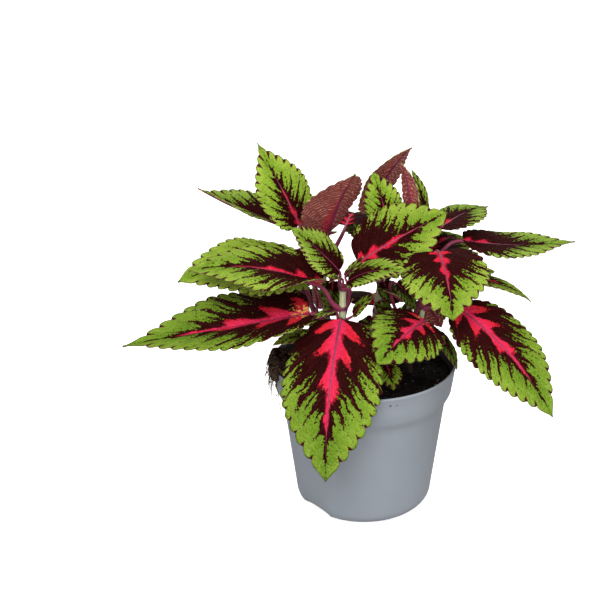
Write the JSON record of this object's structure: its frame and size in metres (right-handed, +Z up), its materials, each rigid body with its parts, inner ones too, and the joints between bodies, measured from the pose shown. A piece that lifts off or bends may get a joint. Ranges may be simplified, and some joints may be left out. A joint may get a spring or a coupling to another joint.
{
  "type": "potted coleus",
  "caption": "Leafy foliage plant with scalloped lime-edged, maroon and pink leaves on upright shoots, in a thin-walled round nursery pot that stands on any level surface.",
  "frame": {"origin": "centre of the pot's foot, on the surface that the pot stands on", "axes": "+Z up along the pot's axis, +X to the viewer's right with the tall hanging leaf towards the viewer, +Y away from the viewer"},
  "size_m": [0.2822, 0.1751, 0.2353],
  "materials": {
    "pot": "matt injection-moulded polypropylene, blue-grey",
    "soil": "moist dark peat with pale specks",
    "roots": "brown peat crumbs bound by fine dry roots",
    "stem": "soft square stem, pale green with purple nodes",
    "leaf": "quilted, softly glossy leaf: lime edge, maroon middle, pink centre, dull maroon underside"
  },
  "bodies": {
    "root": {"pot": "pot", "soil": "soil", "root_clump": "roots", "stem_front": "stem", "stem_left": "stem", "stem_middle": "stem", "stem_right": "stem", "stem_low": "stem", "leaf_front_01": "leaf", "leaf_front_02": "leaf", "leaf_front_03": "leaf", "leaf_front_04": "leaf", "leaf_front_05": "leaf", "leaf_front_06": "leaf", "leaf_front_07": "leaf", "leaf_front_08": "leaf", "leaf_front_09": "leaf", "leaf_left_01": "leaf", "leaf_left_02": "leaf", "leaf_left_03": "leaf", "leaf_left_04": "leaf", "leaf_left_05": "leaf", "leaf_left_06": "leaf", "leaf_left_07": "leaf", "leaf_left_08": "leaf", "leaf_left_09": "leaf", "leaf_middle_01": "leaf", "leaf_middle_02": "leaf", "leaf_middle_03": "leaf", "leaf_middle_04": "leaf", "leaf_middle_05": "leaf", "leaf_middle_06": "leaf", "leaf_middle_07": "leaf", "leaf_middle_08": "leaf", "leaf_middle_09": "leaf", "leaf_right_01": "leaf", "leaf_right_02": "leaf", "leaf_right_03": "leaf", "leaf_right_04": "leaf", "leaf_right_05": "leaf", "leaf_right_06": "leaf", "leaf_right_07": "leaf", "leaf_right_08": "leaf", "leaf_right_09": "leaf", "leaf_low_01": "leaf", "leaf_low_02": "leaf", "leaf_low_03": "leaf", "leaf_low_04": "leaf", "leaf_low_05": "leaf"}
  },
  "joints": []
}
